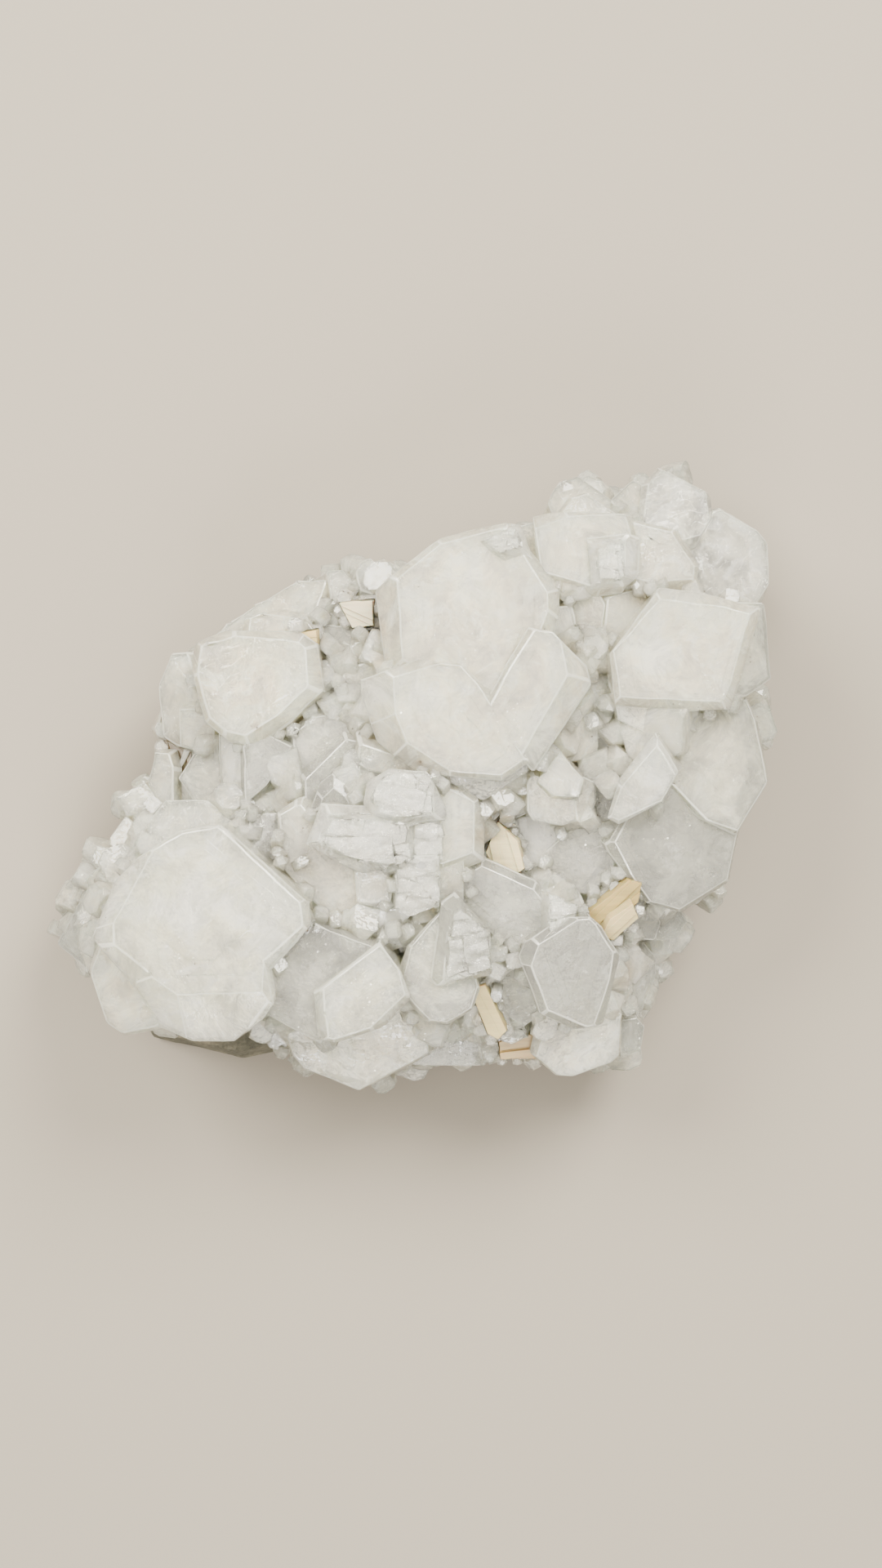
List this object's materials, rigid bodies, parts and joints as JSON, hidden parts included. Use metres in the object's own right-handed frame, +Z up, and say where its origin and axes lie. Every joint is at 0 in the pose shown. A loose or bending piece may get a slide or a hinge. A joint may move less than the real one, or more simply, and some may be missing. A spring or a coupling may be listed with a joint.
{
  "type": "apophyllite crystal cluster",
  "caption": "Mineral specimen: intergrown blocky colourless to milky apophyllite crystals with pale stilbite blades in the pockets, on a thin slice of basalt.",
  "frame": {"origin": "on the flat underside of the basalt, under the middle of the whole specimen", "axes": "+Z up, away from the rock, towards the crystal faces; +X along the longer side of the specimen, to the right as it is seen from above; +Y to its upper edge"},
  "size_m": [0.1256, 0.1076, 0.0511],
  "materials": {
    "basalt": "rough broken rock",
    "apophyllite": "vitreous faces, milky inside, frosted in places",
    "stilbite_pale": "pearly",
    "stilbite_peach": "pearly",
    "stilbite_yellow": "pearly",
    "stilbite_olive": "pearly, stained"
  },
  "bodies": {
    "root": {"basalt_matrix": "basalt", "apophyllite_crystals": "apophyllite", "stilbite_block_upper_left": "stilbite_pale", "stilbite_chip_upper_left": "stilbite_peach", "stilbite_sheaf_left_edge": "stilbite_olive", "stilbite_blade_centre": "stilbite_pale", "stilbite_blade_yellow": "stilbite_yellow", "stilbite_blade_peach": "stilbite_peach", "stilbite_blade_cream_lower": "stilbite_yellow", "stilbite_blade_peach_lower": "stilbite_peach"}
  },
  "joints": []
}
